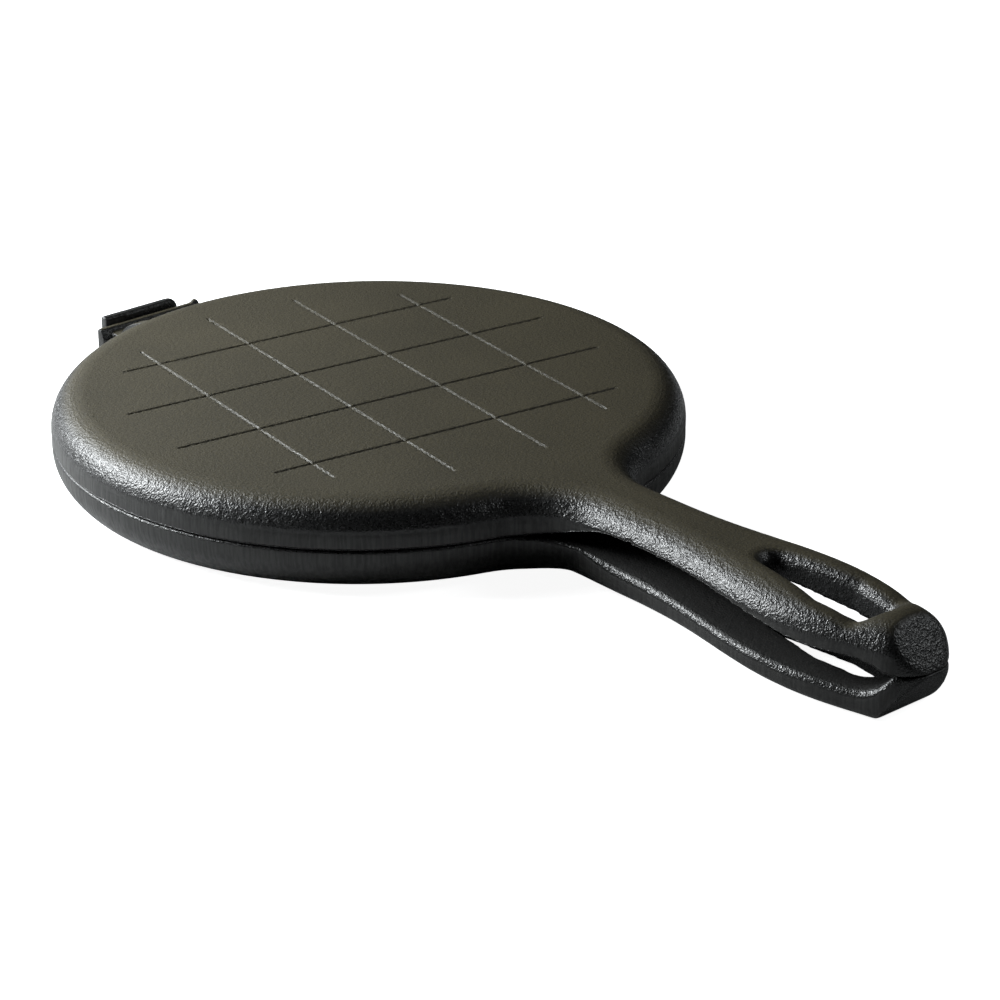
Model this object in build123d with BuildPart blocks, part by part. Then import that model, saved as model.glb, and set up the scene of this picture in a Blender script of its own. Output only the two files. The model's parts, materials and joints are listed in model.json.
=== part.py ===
"""Hinged cast-iron waffle cone maker: two round plates, each one casting with its handle and its hinge half.

Millimetres, +Z up. The origin is the centre of the lower plate's flat underside. The handles point
along -Y, and the hinge is behind the plates at +Y, with its axis parallel to X.
"""

from build123d import *
import math
import os

# Plates
PLATE_R = 105.0
LOWER_T = 15.7
UPPER_T = 14.8
LOWER_RIM_R = 13.3
UPPER_RIM_R = 11.65
PARTING = LOWER_T
TOP = LOWER_T + UPPER_T

# Baking faces: a shallow dish with a lattice of grooves, the same in both plates
DISH_R = 97.0
DISH_DEPTH = 0.5
LATTICE_PITCH = 12.0
LATTICE_GROOVE_W = 2.2
LATTICE_DEPTH = 1.4

# Plain lattice engraved in the top, turned a little from the handle's line
ENGRAVED_R = 82.5
ENGRAVED_W = 1.3
ENGRAVED_DEPTH = 0.7
ENGRAVED_TURN = -8.4
ENGRAVED_OFFSETS = (-51.0, -17.0, 17.0, 51.0)

# Handle plan, half of it: waist, swell and rounded nose
WAIST_HALF = 14.7
ROOT_R = 25.0
SWELL = [(16.3, -166.0), (19.3, -188.0), (20.0, -205.0), (18.5, -219.0)]
WAIST_END_Y = -140.0
TIP_Y = -252.0
NOSE_R = 14.0
NOSE_SLOPE = 11.0

# Hanging hole, the same in both handles: three circles and their common tangents
HOLE_CIRCLES = [(-188.0, 3.6), (-213.0, 7.6), (-226.0, 6.6)]
HOLE_RIM_R = 4.6

# Heights of the handles' facing sides and of the lower handle's back, measured from the parting plane
GAP_START_Y = -101.0
GAP_END_Y = -245.0
UPPER_ARCH = [
    (-110, 1.2),
    (-118, 3.2),
    (-128, 6.0),
    (-142, 6.8),
    (-176, 6.4),
    (-200, 4.6),
    (-216, 2.7),
    (-238, 2.0),
]
LOWER_ARCH = [
    (-118, -1.6),
    (-134, -3.0),
    (-152, -3.8),
    (-188, -5.6),
    (-216, -6.5),
    (-230, -6.8),
    (-238, -5.8),
    (-242, -3.1),
]
LOWER_BACK = [
    (-91, -15.7),
    (-98, -14.8),
    (-108, -12.7),
    (-124, -12.2),
    (-175, -12.7),
    (-226, -15.0),
    (-256, -14.6),
]
LOWER_EDGE_R = 3.2

# Facets that end the handles: the end ones lean back from the parting plane, the side ones are upright
FACET_LEAN = 37.0
SIDE_FACET = [(13.4, -243.6), (6.6, -251.4)]

# Hinge: a blade on the upper plate hangs in a round trough of the lower plate, in front of an upright lip.
# None of its three parts is quite central behind the plates.
AXIS_Y = 121.0
AXIS_Z = PARTING + 3.1
BLADE_X = -2.15
BLADE_HALF = 21.65
BLADE_T = 2.9
BLADE_REACH = 9.05
TROUGH_R = 9.35
TONGUE_X = -2.5
TONGUE_HALF = 17.0
TONGUE_T = 2.6
GUSSET_W = 5.0
GUSSET_TOP = [(99.0, 12.2), (103.0, 10.8), (107.0, 9.2), (110.0, 7.6), (113.0, 5.2), (115.5, 1.5)]
LIP_X = -3.4
LIP_HALF = 15.9
LIP_GAP = 0.35
LIP_T = 3.5
LIP_TOP = PARTING + 7.05
LUG_TOP = PARTING - 0.6
LUG_BOTTOM = PARTING - 11.8
LUG_CORNER_R = 5.0
LIP_CREST_R = 1.6
LIP_CORNER_R = 4.0
KNOB_R = 1.5
KNOB_RISE = 1.0
HINGE_ROOT_Y = 99.0

# Side views are drawn left of the iron and extruded to the right, past everything they cut
SIDE_X = 60.0
SIDE_VIEW = Plane.YZ.offset(-SIDE_X)
BACK_CUT_HALF = 38.0

# How far a cutting shape reaches past what it cuts
CLEAR = 1.0
UPRIGHT = 0.01

os.makedirs("parts", exist_ok=True)

nose_centre_y = TIP_Y + NOSE_R
nose_angle = math.radians(NOSE_SLOPE)
nose_start = (NOSE_R * math.cos(nose_angle), nose_centre_y - NOSE_R * math.sin(nose_angle))
nose_tangent = (-math.sin(nose_angle), -math.cos(nose_angle))

with BuildSketch() as handle_plan:
    with BuildLine():
        Polyline((0, -PLATE_R / 2), (WAIST_HALF, -PLATE_R / 2), (WAIST_HALF, WAIST_END_Y))
        Spline((WAIST_HALF, WAIST_END_Y), *SWELL, nose_start, tangents=[(0, -1), nose_tangent])
        RadiusArc(nose_start, (0, TIP_Y), NOSE_R)
        Line((0, TIP_Y), (0, -PLATE_R / 2))
    make_face()
    mirror(about=Plane.YZ)

with BuildSketch() as iron_plan:
    Circle(PLATE_R)
    add(handle_plan.sketch)
    fillet([v for v in iron_plan.vertices() if -PLATE_R < v.Y < -PLATE_R / 2], ROOT_R)

with BuildSketch() as hole_plan:
    for hole_y, hole_r in HOLE_CIRCLES:
        with Locations((0, hole_y)):
            Circle(hole_r)
    make_hull()

# Lattice grooves of a baking face, cut off by the dish's edge
with BuildSketch() as lattice_plan:
    lines = 2 * math.floor(DISH_R / LATTICE_PITCH) + 1
    with GridLocations(LATTICE_PITCH, 0, lines, 1):
        Rectangle(LATTICE_GROOVE_W, 2 * DISH_R)
    with GridLocations(0, LATTICE_PITCH, 1, lines):
        Rectangle(2 * DISH_R, LATTICE_GROOVE_W)
    Circle(DISH_R, mode=Mode.INTERSECT)

# Engraved lattice: each line ends on a circle
with BuildSketch() as engraved_plan:
    for offset in ENGRAVED_OFFSETS:
        line_length = 2 * math.sqrt(ENGRAVED_R**2 - offset**2)
        with Locations((offset, 0)):
            SlotOverall(line_length, ENGRAVED_W, rotation=90)
        with Locations((0, offset)):
            SlotOverall(line_length, ENGRAVED_W)


def from_parting(points):
    """Turns (y, height above the parting plane) into points of the YZ plane."""
    return [(y, PARTING + height) for y, height in points]


# Air gap between the handles, cut from both of them
gap_start = (GAP_START_Y, PARTING)
gap_end = (GAP_END_Y, PARTING)
with BuildSketch(SIDE_VIEW) as handle_gap:
    with BuildLine():
        Spline(gap_start, *from_parting(UPPER_ARCH), gap_end)
        Spline(gap_start, *from_parting(LOWER_ARCH), gap_end)
    make_face()

# Side view of what is above and below the lower handle's back
back_curve = from_parting(LOWER_BACK)
with BuildSketch(SIDE_VIEW) as above_back:
    with BuildLine():
        Spline(*back_curve)
        Polyline(back_curve[-1], (back_curve[-1][0], PARTING), (back_curve[0][0], PARTING), back_curve[0])
    make_face()
with BuildSketch(Plane.YZ.offset(-BACK_CUT_HALF)) as below_back:
    with BuildLine():
        Spline(*back_curve)
        Polyline(back_curve[-1], (back_curve[-1][0], -PARTING), (back_curve[0][0], -PARTING), back_curve[0])
    make_face()

# What the end facets of both handles cut off
facet_slope = math.tan(math.radians(FACET_LEAN))
beyond_tip_y = TIP_Y - CLEAR
with BuildPart() as nose_trim:
    with BuildSketch(Plane.YZ.offset(-2 * NOSE_R)):
        with BuildLine():
            Polyline(
                (TIP_Y, PARTING),
                (TIP_Y + (UPPER_T + CLEAR) * facet_slope, TOP + CLEAR),
                (beyond_tip_y, TOP + CLEAR),
                (beyond_tip_y, -CLEAR),
                (TIP_Y + (LOWER_T + CLEAR) * facet_slope, -CLEAR),
                close=True,
            )
        make_face()
    extrude(amount=4 * NOSE_R)
    with BuildSketch():
        with BuildLine():
            Polyline(*SIDE_FACET, (SIDE_FACET[0][0] + NOSE_R, SIDE_FACET[1][1] - NOSE_R), close=True)
        make_face()
        mirror(about=Plane.YZ)
    extrude(amount=TOP)

with BuildPart() as upper_plate:
    with BuildSketch(Plane.XY.offset(PARTING)):
        add(iron_plan.sketch)
    extrude(amount=UPPER_T)
    fillet(upper_plate.faces().sort_by(Axis.Z)[-1].outer_wire().edges(), UPPER_RIM_R)
    # Hanging hole with a rolled rim
    with BuildSketch(Plane.XY.offset(PARTING)):
        add(hole_plan.sketch)
    extrude(amount=UPPER_T, mode=Mode.SUBTRACT)
    hole_walls = upper_plate.faces(Select.LAST).filter_by(lambda f: abs(f.normal_at().Z) < UPRIGHT)
    fillet(hole_walls.edges().filter_by(lambda e: e.center().Z > TOP - CLEAR), HOLE_RIM_R)
    extrude(handle_gap.sketch, amount=2 * SIDE_X, mode=Mode.SUBTRACT)
    add(nose_trim.part, mode=Mode.SUBTRACT)
    # Engraving on the outside
    with BuildSketch(Plane.XY.offset(TOP).rotated((0, 0, ENGRAVED_TURN))):
        add(engraved_plan.sketch)
    extrude(amount=-ENGRAVED_DEPTH, mode=Mode.SUBTRACT)
    # Baking face
    with BuildSketch(Plane.XY.offset(PARTING)):
        Circle(DISH_R)
    extrude(amount=DISH_DEPTH, mode=Mode.SUBTRACT)
    with BuildSketch(Plane.XY.offset(PARTING)):
        add(lattice_plan.sketch)
    extrude(amount=LATTICE_DEPTH, mode=Mode.SUBTRACT)
    # Tongue that carries the blade over the hinge axis
    with BuildSketch(Plane.YZ.offset(TONGUE_X - TONGUE_HALF)):
        with Locations((HINGE_ROOT_Y, PARTING)):
            Rectangle(AXIS_Y - HINGE_ROOT_Y, TONGUE_T, align=(Align.MIN, Align.MIN))
    extrude(amount=2 * TONGUE_HALF)
    # Gussets along both sides of the tongue
    gusset_top = from_parting(GUSSET_TOP)
    for gusset_x in (TONGUE_X - TONGUE_HALF, TONGUE_X + TONGUE_HALF - GUSSET_W):
        with BuildSketch(Plane.YZ.offset(gusset_x)):
            with BuildLine():
                Spline(*gusset_top)
                Polyline(gusset_top[-1], (gusset_top[-1][0], PARTING), (HINGE_ROOT_Y, PARTING), gusset_top[0])
            make_face()
        extrude(amount=GUSSET_W)
    # Blade: round crest on the hinge axis, flared front, and a foot that swings in the trough
    with BuildSketch(Plane.YZ.offset(BLADE_X - BLADE_HALF)):
        with Locations((AXIS_Y, AXIS_Z)):
            Circle(BLADE_T / 2)
        with BuildLine():
            Polyline(
                (AXIS_Y + BLADE_T / 2, AXIS_Z),
                (AXIS_Y - BLADE_T / 2, AXIS_Z),
                (AXIS_Y - BLADE_T, AXIS_Z - BLADE_T),
                (AXIS_Y - BLADE_T, AXIS_Z - 2 * BLADE_REACH),
                (AXIS_Y + BLADE_T / 2, AXIS_Z - 2 * BLADE_REACH),
                close=True,
            )
        make_face()
        with Locations((AXIS_Y, AXIS_Z)):
            Circle(BLADE_REACH, mode=Mode.INTERSECT)
    extrude(amount=2 * BLADE_HALF)
    with Locations((BLADE_X + BLADE_HALF - KNOB_R, AXIS_Y, AXIS_Z + KNOB_RISE)):
        Sphere(KNOB_R)
upper_plate.part.label = "upper_plate"
export_step(upper_plate.part, "parts/upper_plate.step")

# Lower handle on its own, with softened back edges
with BuildPart() as lower_handle:
    with BuildSketch():
        add(handle_plan.sketch)
    extrude(amount=PARTING)
    extrude(above_back.sketch, amount=2 * SIDE_X, mode=Mode.INTERSECT)
    back_face = lower_handle.faces().sort_by(Axis.Z)[0]
    fillet([e for e in back_face.edges() if e.center().Y < LOWER_BACK[0][0] - CLEAR], LOWER_EDGE_R)

# Hinge lug: a trough for the blade's foot, and the upright lip behind it
lip_front_y = AXIS_Y + BLADE_T / 2 + LIP_GAP
lip_back_y = lip_front_y + LIP_T
with BuildSketch(SIDE_VIEW) as trough_section:
    with Locations((AXIS_Y, AXIS_Z)):
        Circle(TROUGH_R)
    with Locations((lip_front_y, AXIS_Z)):
        Rectangle(2 * TROUGH_R, 2 * TROUGH_R, align=(Align.MIN, Align.CENTER), mode=Mode.SUBTRACT)

with BuildPart() as hinge_lug:
    with BuildSketch(Plane.YZ.offset(LIP_X - LIP_HALF)):
        with BuildLine():
            Polyline(
                (HINGE_ROOT_Y, LUG_TOP),
                (lip_front_y, LUG_TOP),
                (lip_front_y, LIP_TOP),
                (lip_back_y, LIP_TOP),
                (lip_back_y, LUG_BOTTOM),
                (HINGE_ROOT_Y, LUG_BOTTOM),
                close=True,
            )
        make_face()
    extrude(amount=2 * LIP_HALF)
    extrude(trough_section.sketch, amount=2 * SIDE_X, mode=Mode.SUBTRACT)
    fillet(hinge_lug.edges().filter_by(Axis.X).group_by(Axis.Z)[0].sort_by(Axis.Y)[-1], LUG_CORNER_R)
    fillet(hinge_lug.edges().filter_by(Axis.Y).group_by(Axis.Z)[-1].sort_by(Axis.X)[-1], LIP_CORNER_R)
    crest_edges = hinge_lug.faces().sort_by(Axis.Z)[-1].edges().filter_by(Axis.X)
    fillet(crest_edges, LIP_CREST_R)

with BuildPart() as lower_plate:
    with BuildSketch():
        add(iron_plan.sketch)
    extrude(amount=LOWER_T)
    fillet(lower_plate.faces().sort_by(Axis.Z)[0].outer_wire().edges(), LOWER_RIM_R)
    extrude(below_back.sketch, amount=2 * BACK_CUT_HALF, mode=Mode.SUBTRACT)
    add(lower_handle.part)
    with BuildSketch():
        add(hole_plan.sketch)
    extrude(amount=PARTING, mode=Mode.SUBTRACT)
    extrude(handle_gap.sketch, amount=2 * SIDE_X, mode=Mode.SUBTRACT)
    add(nose_trim.part, mode=Mode.SUBTRACT)
    add(hinge_lug.part)
    with BuildSketch(Plane.XY.offset(PARTING)):
        Circle(DISH_R)
    extrude(amount=-DISH_DEPTH, mode=Mode.SUBTRACT)
    with BuildSketch(Plane.XY.offset(PARTING)):
        add(lattice_plan.sketch)
    extrude(amount=-LATTICE_DEPTH, mode=Mode.SUBTRACT)
lower_plate.part.label = "lower_plate"
export_step(lower_plate.part, "parts/lower_plate.step")
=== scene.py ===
"""Seasoned cast-iron waffle cone maker on a pale floor, lit mainly from behind it and from its left."""

import json
import math

import bpy
import numpy as np
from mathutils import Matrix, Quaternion, Vector


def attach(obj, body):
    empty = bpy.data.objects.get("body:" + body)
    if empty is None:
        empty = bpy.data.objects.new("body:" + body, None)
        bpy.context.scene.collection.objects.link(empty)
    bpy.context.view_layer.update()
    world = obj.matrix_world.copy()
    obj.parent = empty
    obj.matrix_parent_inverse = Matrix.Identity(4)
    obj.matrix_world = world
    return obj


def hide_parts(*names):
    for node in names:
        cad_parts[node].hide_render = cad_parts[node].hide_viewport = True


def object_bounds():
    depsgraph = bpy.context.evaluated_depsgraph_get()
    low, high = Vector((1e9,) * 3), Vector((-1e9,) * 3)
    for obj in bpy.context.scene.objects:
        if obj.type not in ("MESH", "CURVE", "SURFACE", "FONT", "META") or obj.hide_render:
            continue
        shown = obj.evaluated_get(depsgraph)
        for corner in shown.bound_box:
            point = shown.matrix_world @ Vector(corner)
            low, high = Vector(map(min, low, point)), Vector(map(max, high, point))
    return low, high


MM = 0.001

# Camera, as azimuth, elevation and roll in degrees, with its distance to the point it looks at
CAMERA_AZIMUTH = -41.23
CAMERA_ELEVATION = 23.64
CAMERA_ROLL = -0.27
CAMERA_DISTANCE = 1084.9 * MM
CAMERA_LENS = 124.1
CAMERA_SENSOR = 36.0
CAMERA_AIM_OFFSET = Vector((-11.0, -15.3, 0.45)) * MM

# The hinge axis stands this far above the plane in which the two castings meet
AXIS_ABOVE_PARTING = 3.1 * MM

# Two floors: the one that is seen, and a greyer one under it that the iron reflects
FLOOR_HALF = 4.0
FLOOR_DROP = 0.1 * MM
FLOOR_BASE = 0.9
FLOOR_GLOW = 0.93
FLOOR_ROUGH = 0.9
BOUNCE_DROP = 0.3 * MM
BOUNCE_BASE = 0.50
ROOM_GLOW = 0.01

# Voxel size of the castings' meshes, and the length of the slices in which the handle's height is found
VOXEL = 0.5 * MM
WELD_GAP = 0.001 * MM
SLICE = 2.0 * MM

# Where the handle and its tip begin, from the tip's end, and the lengths over which smoothing grows there
HANDLE_LENGTH = 134.0 * MM
HANDLE_BLEND = 15.0 * MM
TIP_LENGTH = 28.0 * MM
TIP_BLEND = 12.0 * MM

# Smoothing passes: the usual number and the engraved top's, what tip and edges add, and the rim's least
USUAL_PASSES = 5.0
TOP_PASSES = 1.0
TIP_PASSES = 60.0
EDGE_PASSES = 90.0
RIM_PASSES = 14.0

# Where those passes apply: depths below the top, and widths
TOP_DEPTH = 2.0 * MM
PARTING_BLEND = 5.0 * MM
PARTING_SHARE = 0.15
RIM_WIDTH = 4.0 * MM
EDGE_FROM_X = 9.0 * MM
EDGE_BLEND_X = 3.0 * MM
EDGE_DEPTH = 6.0 * MM
EDGE_BLEND_DEPTH = 4.0 * MM

# Light and iron colours, linear
LIGHT_COLOUR = (0.95, 0.985, 1.0)
WHITE = (1.0, 1.0, 1.0, 1.0)
IRON_DARK = (0.0295, 0.0258, 0.0148, 1.0)
IRON_OLIVE = (0.0600, 0.0515, 0.0295, 1.0)
# Painted shade: near black on tilted faces, and on the lower casting's flats
PAINTED_SHADE_BLACK = (0.0130, 0.0132, 0.0132, 1.0)
# Painted shade of the gap between the castings, on the lower casting's flats
GAP_SHADE_DARK = (0.0090, 0.0085, 0.0070, 1.0)
GROUND_DARK = (0.014, 0.014, 0.0135, 1.0)
GROUND_GREY = (0.034, 0.034, 0.0325, 1.0)

# Noise scales, per metre. The streaks are stretched along Z by the inverse of STREAK_SQUASH.
GRAIN_SCALE = 1700.0
WAVE_SCALE = 620.0
MOTTLE_SCALE = 26.0
STREAK_SCALE = 1150.0
STREAK_SQUASH = 0.06

# Noise values between which colour and roughness change, as low and high
TONE_RANGE = (0.30, 0.70)
GRAIN_RANGE = (0.35, 0.65)
STREAK_RANGE = (0.35, 0.68)
STREAK_ROUGH_RANGE = (0.35, 0.65)
MOTTLE_SHARE = 0.25

# Roughness over those ranges, and what flat faces add to it
CAST_ROUGH = (0.42, 0.26)
GROUND_ROUGH = (0.46, 0.34)
FLAT_ROUGHER = 0.24

# Relief of the sand-cast skin and of the grinding streaks
BUMP_DEPTH = 0.26 * MM
WAVE_HEIGHT = 1.1
STREAK_HEIGHT = 0.22
FLAT_HEIGHT = 0.45
FLAT_HEIGHT_Z = (0.90, 0.995)

# Normal's z over which faces turn from tilted to flat, the limits of ground faces, and how softly those end
# Faces below the flat range get painted shade in their colour
FLAT_Z = (0.66, 0.96)
UPPER_GROUND_Z = (-0.25, 0.25)
LOWER_GROUND_Z = (-0.85, 0.25)
GROUND_SOFT = 0.08

# A strip along the middle plane isn't ground, so that the hanging hole's walls look as cast. It ends here.
UNGROUND_X = (10.0 * MM, 12.0 * MM)

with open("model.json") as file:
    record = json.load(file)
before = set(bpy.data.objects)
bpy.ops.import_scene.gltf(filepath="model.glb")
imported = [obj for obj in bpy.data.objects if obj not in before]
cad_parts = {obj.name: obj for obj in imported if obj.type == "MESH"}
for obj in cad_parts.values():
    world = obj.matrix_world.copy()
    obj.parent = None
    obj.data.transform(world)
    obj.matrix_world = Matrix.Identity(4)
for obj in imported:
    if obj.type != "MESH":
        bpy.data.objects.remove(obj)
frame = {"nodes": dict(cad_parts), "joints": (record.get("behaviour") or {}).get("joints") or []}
cad_low, cad_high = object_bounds()
centre = (cad_low + cad_high) / 2
hinge = next(joint for joint in frame["joints"] if joint["name"] == "plate_hinge")
parting_z = hinge["pos_m"][2] - AXIS_ABOVE_PARTING
handle_y = cad_low.y + HANDLE_LENGTH
tip_y = cad_low.y + TIP_LENGTH
plate_radius = cad_high.x


def direction(azimuth, elevation):
    """Unit vector from the object; azimuth 0 is towards -Y and 90 towards +X, in degrees."""
    turn, rise = math.radians(azimuth), math.radians(elevation)
    return Vector((math.sin(turn) * math.cos(rise), -math.cos(turn) * math.cos(rise), math.sin(rise)))


def link(obj):
    bpy.context.scene.collection.objects.link(obj)
    return obj


def add_camera():
    back = direction(CAMERA_AZIMUTH, CAMERA_ELEVATION)
    data = bpy.data.cameras.new("camera")
    data.lens = CAMERA_LENS
    data.sensor_width = CAMERA_SENSOR
    camera = link(bpy.data.objects.new("camera", data))
    camera.location = centre + CAMERA_AIM_OFFSET + back * CAMERA_DISTANCE
    camera.rotation_mode = "QUATERNION"
    roll = Quaternion((0, 0, 1), math.radians(CAMERA_ROLL))
    camera.rotation_quaternion = (-back).to_track_quat("-Z", "Y") @ roll
    bpy.context.scene.camera = camera


def add_soft_light(name, azimuth, elevation, distance, width, height, power):
    """A rectangular softbox that faces the object's centre."""
    data = bpy.data.lights.new(name, "AREA")
    data.shape = "RECTANGLE"
    data.size = width
    data.size_y = height
    data.energy = power
    data.color = LIGHT_COLOUR
    light = link(bpy.data.objects.new(name, data))
    back = direction(azimuth, elevation)
    light.location = centre + back * distance
    light.rotation_mode = "QUATERNION"
    light.rotation_quaternion = (-back).to_track_quat("-Z", "Y")
    light.visible_camera = False


class Nodes:
    """Short helpers for building one node tree."""

    def __init__(self, tree):
        self.tree = tree
        self.tree.nodes.clear()

    def add(self, kind, **settings):
        node = self.tree.nodes.new(kind)
        inputs = settings.pop("inputs", {})
        for name, value in settings.items():
            setattr(node, name, value)
        for name, value in inputs.items():
            self.put(node, name, value)
        return node

    def put(self, node, name, value):
        if isinstance(value, bpy.types.NodeSocket):
            self.tree.links.new(value, node.inputs[name])
        else:
            node.inputs[name].default_value = value

    def math(self, operation, a, b=0.0):
        return self.add("ShaderNodeMath", operation=operation, inputs={0: a, 1: b}).outputs[0]

    def noise(self, vector, scale, detail=2.0, roughness=0.5):
        node = self.add(
            "ShaderNodeTexNoise",
            inputs={"Vector": vector, "Scale": scale, "Detail": detail, "Roughness": roughness},
        )
        return node.outputs["Fac"]

    def part(self, vector, axis):
        """One coordinate of a vector."""
        return self.add("ShaderNodeSeparateXYZ", inputs={0: vector}).outputs[axis]

    def ramp(self, value, span, ends=(0.0, 1.0)):
        """Maps value smoothly from the span to the ends."""
        node = self.add(
            "ShaderNodeMapRange",
            interpolation_type="SMOOTHSTEP",
            inputs={
                "Value": value,
                "From Min": span[0],
                "From Max": span[1],
                "To Min": ends[0],
                "To Max": ends[1],
            },
        )
        return node.outputs["Result"]

    def mix_colour(self, factor, a, b):
        return self.add("ShaderNodeMix", data_type="RGBA", inputs={0: factor, 6: a, 7: b}).outputs[2]

    def mix_value(self, factor, a, b):
        return self.add("ShaderNodeMix", data_type="FLOAT", inputs={0: factor, 2: a, 3: b}).outputs[0]


def ground_mask(n, place, normal_z, limits):
    """1 on faces whose normal's z is between the limits, but 0 in the strip along the middle plane."""
    low, high = limits
    above = n.ramp(normal_z, (low - GROUND_SOFT, low + GROUND_SOFT))
    below = n.ramp(normal_z, (high - GROUND_SOFT, high + GROUND_SOFT), (1.0, 0.0))
    off_middle = n.ramp(n.math("ABSOLUTE", n.part(place, "X")), UNGROUND_X)
    return n.math("MULTIPLY", n.math("MULTIPLY", above, below), off_middle)


def iron_material(name, ground_z, flat_dark, flat_light):
    """Seasoned sand-cast iron, with painted shade on its tilted faces. Faces whose normal's z is between the
    ground_z limits are ground smooth.
    """
    material = bpy.data.materials.new(name)
    material.use_nodes = True
    n = Nodes(material.node_tree)
    coordinates = n.add("ShaderNodeTexCoord")
    place = coordinates.outputs["Object"]
    normal_z = n.part(coordinates.outputs["Normal"], "Z")
    ground = ground_mask(n, place, normal_z, ground_z)
    # Faces that tilt away from the flat outsides get near black: painted shade, as they turn away from the
    # lamps
    flat = n.ramp(normal_z, FLAT_Z)

    # Sand-cast skin: fine rounded grains over slower waves, with slow changes of colour
    grain = n.noise(place, GRAIN_SCALE, detail=1.0, roughness=0.45)
    waves = n.noise(place, WAVE_SCALE, detail=1.0)
    mottle = n.noise(place, MOTTLE_SCALE, detail=4.0, roughness=0.6)
    # Grinding marks: streaks along Z, fine across
    squash = (1.0, 1.0, STREAK_SQUASH)
    streak_place = n.add("ShaderNodeMapping", inputs={"Vector": place, "Scale": squash}).outputs[0]
    streaks = n.noise(streak_place, STREAK_SCALE, detail=3.0, roughness=0.6)

    mottle_part = n.math("MULTIPLY", mottle, MOTTLE_SHARE)
    grain_part = n.math("MULTIPLY", grain, 1.0 - MOTTLE_SHARE)
    tone = n.ramp(n.math("ADD", mottle_part, grain_part), TONE_RANGE)
    flat_colour = n.mix_colour(tone, flat_dark, flat_light)
    shaded_cast_colour = n.mix_colour(flat, PAINTED_SHADE_BLACK, flat_colour)
    ground_colour = n.mix_colour(n.ramp(streaks, STREAK_RANGE), GROUND_DARK, GROUND_GREY)

    worn_rough = n.ramp(grain, GRAIN_RANGE, CAST_ROUGH)
    cast_rough = n.math("ADD", worn_rough, n.math("MULTIPLY", flat, FLAT_ROUGHER))
    ground_rough = n.ramp(streaks, STREAK_ROUGH_RANGE, GROUND_ROUGH)

    skin = n.math("ADD", grain, n.math("MULTIPLY", waves, WAVE_HEIGHT))
    cast_height = n.math("MULTIPLY", skin, n.ramp(normal_z, FLAT_HEIGHT_Z, (1.0, FLAT_HEIGHT)))
    height = n.mix_value(ground, cast_height, n.math("MULTIPLY", streaks, STREAK_HEIGHT))
    bump = n.add("ShaderNodeBump", inputs={"Strength": 1.0, "Distance": BUMP_DEPTH, "Height": height})
    shader = n.add(
        "ShaderNodeBsdfPrincipled",
        inputs={
            "Base Color": n.mix_colour(ground, shaded_cast_colour, ground_colour),
            "Roughness": n.mix_value(ground, cast_rough, ground_rough),
            "Normal": bump.outputs[0],
            "Specular IOR Level": 0.5,
        },
    )
    n.add("ShaderNodeOutputMaterial", inputs={"Surface": shader.outputs[0]})
    return material


def smoothed(places, edges, softness):
    """Places after as many passes as each point's softness. Each moves it halfway to its neighbours' mean."""
    count = len(places)
    ends = np.concatenate([edges[:, 0], edges[:, 1]])
    others = np.concatenate([edges[:, 1], edges[:, 0]])
    degree = np.maximum(np.bincount(ends, minlength=count), 1)
    for number in range(int(np.ceil(softness.max()))):
        kept = softness[ends] > number
        ends, others = ends[kept], others[kept]
        moving = np.unique(ends)
        total = np.stack([np.bincount(ends, places[others, axis], count) for axis in range(3)], 1)
        share = 0.5 * np.clip(softness[moving] - number, 0.0, 1.0)[:, None]
        places[moving] += share * (total[moving] / degree[moving][:, None] - places[moving])
    return places


def voxel_skin(source):
    """A new mesh that covers the source mesh in small even quads."""
    draft = link(bpy.data.objects.new("draft", source.copy()))
    weld = draft.modifiers.new("weld", "WELD")
    weld.merge_threshold = WELD_GAP
    skin = draft.modifiers.new("skin", "REMESH")
    skin.mode = "VOXEL"
    skin.voxel_size = VOXEL
    mesh = bpy.data.meshes.new_from_object(draft.evaluated_get(bpy.context.evaluated_depsgraph_get()))
    bpy.data.objects.remove(draft)
    return mesh


def add_casting(name, node, body, material, softness):
    """The CAD casting with its edges worn round. softness gives the number of smoothing passes per point."""
    mesh = voxel_skin(frame["nodes"][node].data)
    places = np.empty(3 * len(mesh.vertices))
    mesh.vertices.foreach_get("co", places)
    places = places.reshape(-1, 3)
    edges = np.empty(2 * len(mesh.edges), int)
    mesh.edges.foreach_get("vertices", edges)
    places = smoothed(places, edges.reshape(-1, 2), softness(places))
    mesh.vertices.foreach_set("co", places.ravel())
    mesh.shade_smooth()
    mesh.name = name
    mesh.materials.clear()
    mesh.materials.append(material)
    piece = link(bpy.data.objects.new(name, mesh))
    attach(piece, body)
    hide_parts(node)


def fade(values, start, width):
    """0 up to the start, then rising evenly to 1 over the width."""
    return np.clip((values - start) / width, 0.0, 1.0)


def upper_softness(places):
    """Light all over, lighter still on the engraved top, and strong towards the handle's tip."""
    y, z = places[:, 1], places[:, 2]
    on_top = z > cad_high.z - TOP_DEPTH
    at_tip = fade(-y, -tip_y, TIP_BLEND)
    above_parting = np.maximum(fade(z, parting_z, PARTING_BLEND), PARTING_SHARE)
    return np.where(on_top, TOP_PASSES, USUAL_PASSES) + TIP_PASSES * at_tip * above_parting


def lower_softness(places):
    """Light all over, strong along the handle's upper outer edges, and in between round the plate's rim."""
    x, y, z = places.T
    along = ((y - cad_low.y) / SLICE).astype(int)
    top = np.full(along.max() + 1, cad_low.z)
    np.maximum.at(top, along, z)
    on_handle = fade(-y, -handle_y, HANDLE_BLEND)
    off_hole = fade(np.abs(x), EDGE_FROM_X, EDGE_BLEND_X)
    near_top = fade(z - top[along], -EDGE_DEPTH, EDGE_BLEND_DEPTH)
    at_rim = (np.hypot(x, y) > plate_radius - RIM_WIDTH) & (y < plate_radius)
    worn = USUAL_PASSES + EDGE_PASSES * on_handle * off_hole * near_top
    return np.maximum(worn, np.where(at_rim, RIM_PASSES, 0.0))


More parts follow.
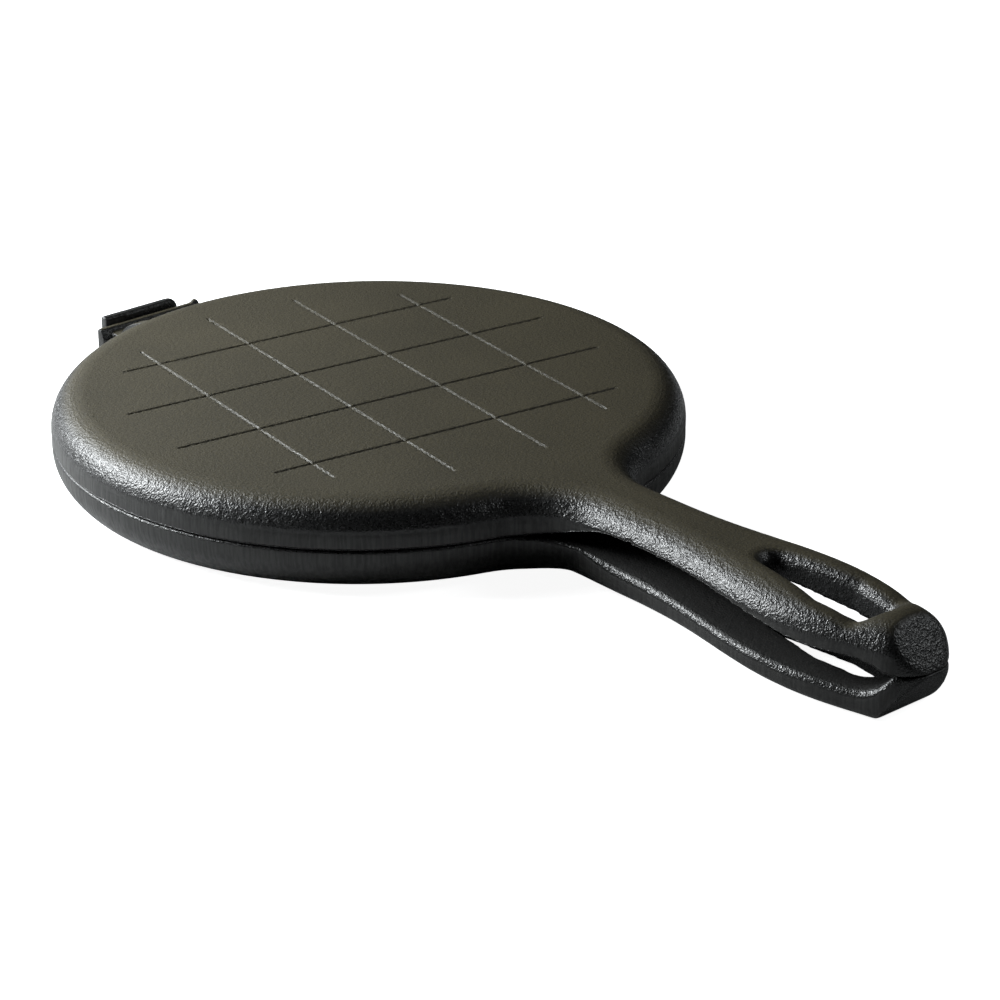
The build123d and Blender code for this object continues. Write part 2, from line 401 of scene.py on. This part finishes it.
def floor_plane(name, drop, base, glow):
    """A square floor of one plain colour, this far below the object."""
    mesh = bpy.data.meshes.new(name)
    corners = [(x, y, 0) for x, y in ((-1, -1), (1, -1), (1, 1), (-1, 1))]
    mesh.from_pydata([Vector(corner) * FLOOR_HALF for corner in corners], [], [(0, 1, 2, 3)])
    floor = link(bpy.data.objects.new(name, mesh))
    floor.location.z = cad_low.z - drop
    material = bpy.data.materials.new(name)
    material.use_nodes = True
    n = Nodes(material.node_tree)
    shader = n.add(
        "ShaderNodeBsdfPrincipled",
        inputs={
            "Base Color": (base, base, base, 1.0),
            "Roughness": FLOOR_ROUGH,
            "Specular IOR Level": 0.0,
            "Emission Color": WHITE,
            "Emission Strength": glow,
        },
    )
    n.add("ShaderNodeOutputMaterial", inputs={"Surface": shader.outputs[0]})
    mesh.materials.append(material)
    return floor


def add_floor():
    """A white floor to the eye, and a greyer one just under it that the iron reflects."""
    seen = floor_plane("floor", FLOOR_DROP, FLOOR_BASE, FLOOR_GLOW)
    seen.visible_diffuse = False
    seen.visible_glossy = False
    seen.visible_shadow = False
    bounce = floor_plane("floor_bounce", BOUNCE_DROP, BOUNCE_BASE, 0.0)
    bounce.visible_camera = False


def add_world():
    """White behind the object, and nearly dark all round it."""
    world = bpy.data.worlds.new("studio")
    world.use_nodes = True
    bpy.context.scene.world = world
    n = Nodes(world.node_tree)
    seen = n.add("ShaderNodeBackground", inputs={"Color": WHITE, "Strength": 1.0})
    room = n.add("ShaderNodeBackground", inputs={"Color": WHITE, "Strength": ROOM_GLOW})
    to_camera = n.add("ShaderNodeLightPath").outputs["Is Camera Ray"]
    mixed = n.add("ShaderNodeMixShader", inputs={0: to_camera, 1: room.outputs[0], 2: seen.outputs[0]})
    n.add("ShaderNodeOutputWorld", inputs={"Surface": mixed.outputs[0]})


add_camera()
add_world()
add_floor()
# Name, azimuth and elevation in degrees, distance, width and height in metres, and watts
add_soft_light("key", -150.0, 26.0, 0.62, 0.30, 0.24, 5.2)
add_soft_light("key_side", -137.0, 28.0, 0.62, 0.24, 0.24, 3.1)
add_soft_light("back", 165.0, 25.0, 0.66, 0.40, 0.26, 0.22)
add_soft_light("front_fill", 46.0, 34.0, 0.90, 0.25, 0.20, 1.3)

upper_iron = iron_material("upper_iron", UPPER_GROUND_Z, IRON_DARK, IRON_OLIVE)
# The lower casting's flats face up towards the upper casting and get near black: painted shade of the gap
# between the castings
lower_iron = iron_material("lower_iron", LOWER_GROUND_Z, GAP_SHADE_DARK, PAINTED_SHADE_BLACK)
add_casting("upper_casting", "upper_plate", "upper", upper_iron, upper_softness)
add_casting("lower_casting", "lower_plate", "lower", lower_iron, lower_softness)

bpy.context.scene.view_settings.view_transform = "Standard"
